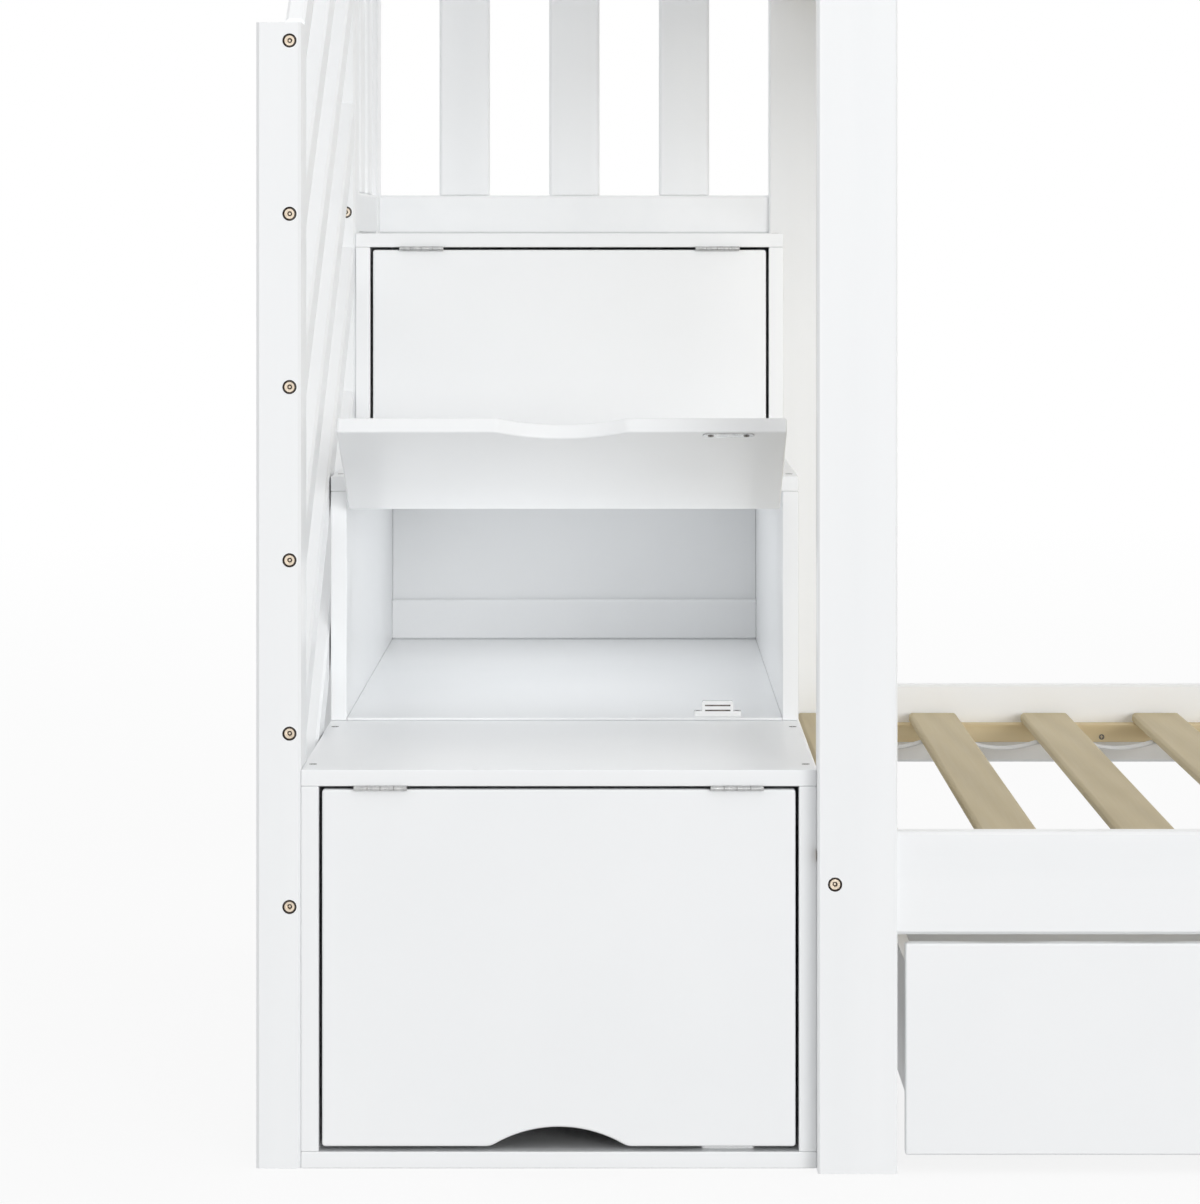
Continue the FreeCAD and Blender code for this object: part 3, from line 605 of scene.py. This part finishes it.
def soften(node, width, segments):
    """Rounds a node's sharp edges and keeps its flat faces evenly shaded."""
    weld = node.modifiers.new("weld", "WELD")
    weld.merge_threshold = weld_reach
    flat = node.modifiers.new("flat", "DECIMATE")
    flat.decimate_type = "DISSOLVE"
    flat.angle_limit = flat_angle
    edge = node.modifiers.new("edge", "BEVEL")
    edge.width = width
    edge.segments = segments
    edge.limit_method = "ANGLE"
    edge.angle_limit = edge_angle
    shade = node.modifiers.new("shade", "WEIGHTED_NORMAL")
    shade.keep_sharp = False


def dress_frame():
    """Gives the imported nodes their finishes."""
    dress(board_nodes, board, board_round)
    dress(panel_nodes, board, panel_round, panel_segments)
    dress(long_rails, timber[0], timber_round)
    dress(cross_rails, timber[1], timber_round)
    dress(uprights, timber[2], timber_round)
    dress(["slide_chute"], chute_gloss)
    dress(["lower_slats", "upper_slats"], slat_wood, board_round)
    dress(["slat_ledgers", "centre_beams"], ledger_wood_painted_light, board_round)
    # Hinges: zinc, their rounded edges in dark steel as painted shade
    dress(hinge_nodes, zinc, hinge_round, edge_shade_material=dark_steel_and_shade)
    dress(caster_nodes, zinc)
    dress(["connector_bolts"], brass)
    dress(["slide_hooks"], coated_steel)
    dress(["magnetic_catches"], white_plastic)
    dress(wheel_nodes, black_nylon)


# New pieces

def add_object(name, data):
    """A new object in the scene."""
    made = bpy.data.objects.new(name, data)
    bpy.context.scene.collection.objects.link(made)
    return made


def add_piece(name, mesh, material, body):
    """A new piece of the part, riding on its body."""
    piece = add_object(name, mesh)
    mesh.materials.append(material)
    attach(piece, body)
    return piece


def finish_mesh(made, name):
    """Turns a shape that is being made into a mesh."""
    mesh = bpy.data.meshes.new(name)
    made.to_mesh(mesh)
    made.free()
    return mesh


def stamped(pattern, stands, name):
    """A mesh with a copy of the pattern at each stand. The pattern itself goes."""
    made = bmesh.new()
    for stand in stands:
        copy = pattern.copy()
        copy.transform(stand)
        made.from_mesh(copy)
        bpy.data.meshes.remove(copy)
    bpy.data.meshes.remove(pattern)
    return finish_mesh(made, name)


def turned_to(direction):
    """The turn that points z in a direction."""
    return Vector(direction).to_track_quat("Z", "Y").to_matrix().to_4x4()


# Webbing: four tapes stapled under the slats, sagging between them

def tape_line(slats):
    """Points (x, z) of a tape's top side: flat under each slat, a shallow sag across each gap."""
    low, high = slats
    pitch = slat_pitch(low, high)
    points = []
    for number in range(slat_count):
        left = low.x + number * pitch
        points += [(left, low.z), (left + slat_width, low.z)]
        if number < slat_count - 1:
            points += sag_points(left + slat_width, left + pitch, low.z)
    return points


def sag_points(start, end, height):
    """Points of one sag, a parabola between two slats, without its ends."""
    shares = [(step + 1) / (band_gap_points + 1) for step in range(band_gap_points)]
    return [
        (start + (end - start) * share, height - 4 * band_sag * share * (1 - share))
        for share in shares
    ]


def tape_mesh(name, line, front):
    """A strip of the tape's width that follows the line, starting at its front edge."""
    made = bmesh.new()
    rows = [
        [
            made.verts.new((x, front + band_width * step / band_cross_points, z))
            for step in range(band_cross_points + 1)
        ]
        for x, z in line
    ]
    for row, following in zip(rows, rows[1:]):
        for step in range(band_cross_points):
            face = made.faces.new((row[step], following[step], following[step + 1], row[step + 1]))
            face.smooth = True
    return finish_mesh(made, name)


def add_webbing():
    """A front and a rear tape under each deck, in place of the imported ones."""
    low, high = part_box("slat_webbing")
    for deck in decks:
        line = tape_line(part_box(f"{deck}_slats"))
        for side, front in (("front", low.y), ("rear", high.y - band_width)):
            name = f"{deck}_{side}_tape"
            piece = add_piece(name, tape_mesh(name, line, front), tape, "bunk_bed")
            thickness = piece.modifiers.new("thickness", "SOLIDIFY")
            thickness.thickness = band_thickness
            thickness.offset = -1
            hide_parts("slat_webbing")


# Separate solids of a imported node

def islands(mesh):
    """Points of each separate solid in a mesh."""
    made = bmesh.new()
    made.from_mesh(mesh)
    bmesh.ops.remove_doubles(made, verts=made.verts, dist=weld_reach)
    seen = set()
    groups = []
    for start in made.verts:
        if start in seen:
            continue
        seen.add(start)
        group = [start]
        for vert in group:
            others = [edge.other_vert(vert) for edge in vert.link_edges]
            fresh = [other for other in others if other not in seen]
            seen.update(fresh)
            group += fresh
        groups.append([vert.co.copy() for vert in group])
    made.free()
    return groups


def corners(points):
    """The lowest and highest corners of some points' box."""
    axes = list(zip(*points))
    return Vector([min(values) for values in axes]), Vector([max(values) for values in axes])


# Screws: cross-head screws, each group one piece

def ring(made, radius, height):
    """Points of a circle round z."""
    turns = [math.tau * step / screw_points for step in range(screw_points)]
    return [made.verts.new((radius * math.cos(t), radius * math.sin(t), height)) for t in turns]


def cross(made, radius, height):
    """Points of the driver's cross, counter-clockwise."""
    arm = radius * cross_reach_share
    half = radius * cross_width_share
    quarter = [(arm, -half), (arm, half), (half, half)]
    points = []
    for turn in range(4):
        spin = Matrix.Rotation(turn * math.pi / 2, 2)
        points += [spin @ Vector(point) for point in quarter]
    return [made.verts.new((*point, height)) for point in points]


def loop_edges(made, loop):
    """Edges that close a loop of points."""
    return [made.edges.new((a, b)) for a, b in zip(loop, loop[1:] + loop[:1])]


def skirt(made, upper, lower):
    """Faces between two loops of as many points."""
    faces = []
    for step in range(len(upper)):
        following = (step + 1) % len(upper)
        faces.append(made.faces.new((upper[step], lower[step], lower[following], upper[following])))
    return faces


def screw_head(radius):
    """A countersunk head with a cross-shaped hollow for the driver, its flat top a little proud of z = 0.
    """
    made = bmesh.new()
    rim = ring(made, radius, head_proud)
    slot_top = cross(made, radius, head_proud)
    slot_floor = cross(made, radius * cross_floor_share, head_proud - radius * cross_depth_share)
    taper = ring(made, radius * head_taper_share, head_proud - radius * head_depth_share)
    edges = loop_edges(made, rim) + loop_edges(made, slot_top)
    bmesh.ops.triangle_fill(made, use_beauty=True, edges=edges)
    skirt(made, rim, taper)
    made.faces.new(taper)
    # The cross's walls and floor take the second material, near-black painted shade
    recess_faces = skirt(made, slot_top, slot_floor) + [made.faces.new(slot_floor)]
    for face in recess_faces:
        face.material_index = 1
    bmesh.ops.recalc_face_normals(made, faces=made.faces)
    return finish_mesh(made, "screw_head")


def add_screws(name, radius, places, facing, body="bunk_bed"):
    """One piece of several dark screws that face the same way, their cross hollows in painted shade."""
    turn = turned_to(facing)
    stands = [Matrix.Translation(spot) @ turn for spot in places]
    mesh = stamped(screw_head(radius), stands, name)
    piece = add_piece(name, mesh, dark_steel_and_shade, body)
    # Near-black painted shade in the cross hollows
    piece.data.materials.append(painted_recess_shade)


def tread_places(step):
    """Over the middles of both side panels, near the step's front and near the next riser."""
    tread_low, tread_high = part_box(f"step_{step}_tread")
    side_low, side_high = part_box(f"step_{step}_sides")
    middles = (side_low.x + side_thickness / 2, side_high.x - side_thickness / 2)
    rear = tread_high.y
    if step < steps[-1]:
        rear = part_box(f"step_{step + 1}_tread")[0].y
    depths = (tread_low.y + tread_screw_front, rear - tread_screw_rear)
    return [(x, y, tread_high.z) for x in middles for y in depths]


def add_tread_screws():
    """Four screws in each tread."""
    for step in steps:
        add_screws(f"step_{step}_tread_screws", tread_screw_radius, tread_places(step), (0, 0, 1))


def ledger_places(front):
    """In every second gap between slats, on the inner face of the front or the rear ledgers."""
    ledger_low, ledger_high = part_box("slat_ledgers")
    face = ledger_low.y + ledger_width if front else ledger_high.y - ledger_width
    places = []
    for deck in decks:
        low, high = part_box(f"{deck}_slats")
        pitch = slat_pitch(low, high)
        height = low.z - ledger_height * ledger_screw_share
        for gap in range(ledger_first_gap, slat_count - 1, ledger_gap_step):
            places.append((low.x + gap * pitch + (slat_width + pitch) / 2, face, height))
    return places


def add_ledger_screws():
    """Screws along the front and the rear ledgers of both decks."""
    for side, front, facing in (("front", True, (0, 1, 0)), ("rear", False, (0, -1, 0))):
        add_screws(f"{side}_ledger_screws", ledger_screw_radius, ledger_places(front), facing)


def door_pivot(step):
    """A point on a door's hinge line."""
    return Vector(joints[f"step_{step}_door_hinge"]["pos_m"])


def door_bottom(step):
    """Height of a door's lower edge when it is shut."""
    if step == steps[0]:
        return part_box("step_1_door")[0].z
    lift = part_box("step_3_door")[0].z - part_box("step_2_tread")[1].z
    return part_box(f"step_{step - 1}_tread")[1].z + lift


def opened(step):
    """How a door stands at rest, turned about its hinge from shut."""
    hinge = joints[f"step_{step}_door_hinge"]
    pivot = door_pivot(step)
    turn = Matrix.Rotation(math.radians(-hinge["range_deg"][0]), 4, Vector(hinge["axis"]))
    return Matrix.Translation(pivot) @ turn @ Matrix.Translation(-pivot)


def plate_places(step):
    """Both ends of a strike plate on its door's inner face, with the door shut."""
    inner_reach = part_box("step_1_door")[1].y + plate_thickness - door_pivot(1).y
    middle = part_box("step_1_tread")[1].x - plate_offset
    depth = door_pivot(step).y + inner_reach
    height = door_bottom(step) + plate_edge_reach
    return [Vector((middle + side * plate_screw_spread, depth, height)) for side in (-1, 1)]


def add_plate_screws():
    """Two screws in each door's strike plate."""
    for step in steps:
        stand = opened(step)
        places = [stand @ spot for spot in plate_places(step)]
        facing = stand.to_3x3() @ Vector((0, 1, 0))
        add_screws(f"step_{step}_plate_screws", plate_screw_radius, places, facing, f"step_{step}_door")


# Catches

def add_catch_screws():
    """A screw in each ear of the three catches."""
    places = []
    spread = (catch_body_width + catch_ear_reach) / 2
    for points in islands(nodes["magnetic_catches"].data):
        low, high = corners(points)
        middle = (low + high) / 2
        height = low.z + catch_ear_height
        places += [(middle.x + side * spread, middle.y, height) for side in (-1, 1)]
    add_screws("catch_screws", catch_screw_radius, places, (0, 0, 1))


def pole_plate(made, low, high):
    """One pole of a catch's magnet, a block from low to high, in dark steel that also paints the shade of
    its slot.
    """
    stand = Matrix.Translation((low + high) / 2) @ Matrix.Diagonal((*(high - low), 1))
    bmesh.ops.create_cube(made, size=1, matrix=stand)


def add_pole_plates():
    """The two steel poles that show in the front slots of each catch, dark as painted shade of the slots.
    """
    made = bmesh.new()
    margin = catch_ear_reach + pole_slot_margin + pole_gap
    for points in islands(nodes["magnetic_catches"].data):
        low, high = corners(points)
        pitch = (high.z - low.z - catch_ear_height) / pole_slot_count
        for slot in range(pole_slot_count):
            bottom = low.z + catch_ear_height + pitch * slot + pole_gap
            top = bottom + pole_slot_height - 2 * pole_gap
            front = Vector((low.x + margin, low.y + pole_sink, bottom))
            back = Vector((high.x - margin, low.y + pole_slot_depth - pole_gap, top))
            pole_plate(made, front, back)
    mesh = finish_mesh(made, "catch_poles_and_slot_shade")
    add_piece("catch_poles_and_slot_shade", mesh, dark_steel_and_shade, "bunk_bed")


# Bolts

def off_axis(offset, axis):
    """Length of an offset, seen along an axis."""
    return math.hypot(*[offset[number] for number in range(3) if number != axis])


def bolt_stand(points):
    """Puts z = 0 on the outer face of a bolt's head, with z running into the wood."""
    low, high = corners(points)
    size = high - low
    axis = max(range(3), key=lambda number: size[number])
    face = (low + high) / 2
    head_reach = bolt_head_radius * head_reach_share
    head = [point[axis] for point in points if off_axis(point - face, axis) > head_reach]
    inward = Vector((0, 0, 0))
    inward[axis] = 1 if sum(head) / len(head) < face[axis] else -1
    face[axis] = low[axis] if inward[axis] > 0 else high[axis]
    return Matrix.Translation(face) @ turned_to(inward)


def bolt_painted_shade():
    """Near-black sheets of painted shade for one bolt: on its hole's wall and floor, round its head's rim
    and on its socket's floor.
    """
    made = bmesh.new()
    hole_radius = bolt_head_radius + bolt_seat_gap - shade_sheet_gap
    mouth = ring(made, hole_radius, shade_sheet_start - bolt_sink)
    foot = ring(made, hole_radius, bolt_head_height - shade_sheet_gap)
    inner = ring(made, bolt_head_radius + shade_sheet_gap, bolt_head_height - shade_sheet_gap)
    skirt(made, mouth, foot)
    skirt(made, foot, inner)
    # A ring of painted shade on the socket's floor, its centre left bright
    socket_floor = bolt_socket_depth - shade_sheet_gap
    rim = ring(made, bolt_socket_radius, socket_floor)
    bright = ring(made, bolt_socket_radius * bolt_socket_bright_share, socket_floor)
    skirt(made, rim, bright)
    # A ring of painted shade on the head's face, along its rim
    edge = ring(made, bolt_head_radius, -shade_sheet_gap)
    face = ring(made, bolt_head_radius * bolt_rim_shade_share, -shade_sheet_gap)
    skirt(made, edge, face)
    return finish_mesh(made, "bolt_painted_shade")


def add_bolt_painted_shades():
    """The painted shade sheets of all bolt holes, as one piece."""
    stands = [bolt_stand(points) for points in islands(nodes["connector_bolts"].data)]
    mesh = stamped(bolt_painted_shade(), stands, "bolt_hole_painted_shade")
    add_piece("bolt_hole_painted_shade", mesh, painted_hole_shade, "bunk_bed")


# Studio

def seen_ray(tree):
    """1 on rays that show the backdrop itself: from the camera, a reflection or clear material."""
    path = add(tree, "ShaderNodeLightPath").outputs
    first = calculate(tree, "MAXIMUM", path["Is Camera Ray"], path["Is Glossy Ray"])
    return calculate(tree, "MAXIMUM", first, path["Is Transmission Ray"])


def light_world():
    """White where it is seen, a softer level where it lights."""
    world = bpy.data.worlds.new("studio")
    bpy.context.scene.world = world
    world.use_nodes = True
    tree = world.node_tree
    background = tree.nodes["Background"]
    background.inputs["Color"].default_value = (1, 1, 1, 1)
    level = between(tree, seen_ray(tree), ambient_level, 1)
    tree.links.new(level, background.inputs["Strength"])


def floor_material():
    """Pale matt floor: seen as white, though it takes the shadow, and an even light from below."""
    material, tree, shader = new_material("studio_floor")
    tone = noise(tree, place(tree), *floor_tone)
    colour = ramp(tree, tone, noise_span_shares, floor_tones)
    wire(tree, shader, Base_Color=colour, Roughness=floor_roughness)
    reach = add(tree, "ShaderNodeVectorMath", {0: place(tree)}, operation="LENGTH").outputs["Value"]
    glow_share = between(tree, reach, floor_glow_share, 1, floor_near, floor_far)
    seen = seen_ray(tree)
    factor = between(tree, seen, 1, glow_share)
    strength = between(tree, seen, floor_light_level, 1)
    glow = add(tree, "ShaderNodeEmission", {"Strength": strength}).outputs["Emission"]
    mixed = add(tree, "ShaderNodeMixShader", {0: factor, 1: shader.outputs["BSDF"], 2: glow})
    tree.links.new(mixed.outputs["Shader"], tree.nodes["Material Output"].inputs["Surface"])
    return material


def add_floor():
    """A wide floor just below the part's feet."""
    made = bmesh.new()
    bmesh.ops.create_grid(made, x_segments=1, y_segments=1, size=floor_half)
    mesh = finish_mesh(made, "floor")
    mesh.materials.append(floor_material())
    floor = add_object("floor", mesh)
    floor.location.z = -floor_drop


def add_lamp(name, level, rise, turn, spread):
    """A broad soft lamp, rise degrees above the floor and turn degrees round from the front."""
    lamp = bpy.data.lights.new(name, "SUN")
    lamp.energy = level
    lamp.angle = math.radians(spread)
    piece = add_object(name, lamp)
    piece.rotation_euler = (math.radians(90 - rise), 0, math.radians(turn))


def add_flat_lamp(name, level, size, spot, lift):
    """A flat lamp that the camera does not see, turned lift degrees about X from facing down."""
    lamp = bpy.data.lights.new(name, "AREA")
    lamp.energy = level
    lamp.shape = "RECTANGLE"
    lamp.size, lamp.size_y = size
    piece = add_object(name, lamp)
    piece.location = spot
    piece.rotation_euler = (math.radians(lift), 0, 0)
    piece.visible_camera = False


def add_box_lamps():
    """Two lamps inside the second step, so that its open box and door are lit as in the photograph."""
    low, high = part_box("step_2_tread")
    middle = (low + high) / 2
    wide = (high.x - low.x) * box_lamp_width_share
    deep = (high.y - low.y) * lid_lamp_depth_share
    under = (middle.x, middle.y, low.z - lid_lamp_drop)
    mouth = (middle.x, door_pivot(2).y + door_lamp_inset, low.z - door_lamp_drop)
    add_flat_lamp("lid_lamp", lid_lamp_level, (wide, deep), under, 0)
    add_flat_lamp("door_lamp", door_lamp_level, (wide, door_lamp_depth), mouth, door_lamp_lift)


def add_camera():
    """The photograph's own viewpoint: level, looking straight at the stairs."""
    newel_low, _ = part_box("stair_newel_post")
    data = bpy.data.cameras.new("camera")
    data.sensor_fit = "HORIZONTAL"
    data.sensor_width = sensor_width
    data.lens = pixels_per_metre * camera_reach / photo_width * sensor_width
    data.shift_x = (photo_width / 2 - axis_pixel[0]) / photo_width
    data.shift_y = (axis_pixel[1] - photo_height / 2) / photo_width
    camera = add_object("camera", data)
    camera.location = (
        newel_low.x + (axis_pixel[0] - newel_left_pixel) / pixels_per_metre,
        newel_low.y - camera_reach,
        (stair_foot_pixel - axis_pixel[1]) / pixels_per_metre,
    )
    camera.rotation_euler = (math.radians(90), 0, 0)
    bpy.context.scene.camera = camera


dress_frame()
add_webbing()
add_tread_screws()
add_ledger_screws()
add_plate_screws()
add_catch_screws()
add_pole_plates()
add_bolt_painted_shades()
light_world()
add_floor()
for lamp_name, setting in lamps.items():
    add_lamp(lamp_name, **setting)
add_box_lamps()
add_camera()
bpy.context.scene.view_settings.view_transform = "Standard"
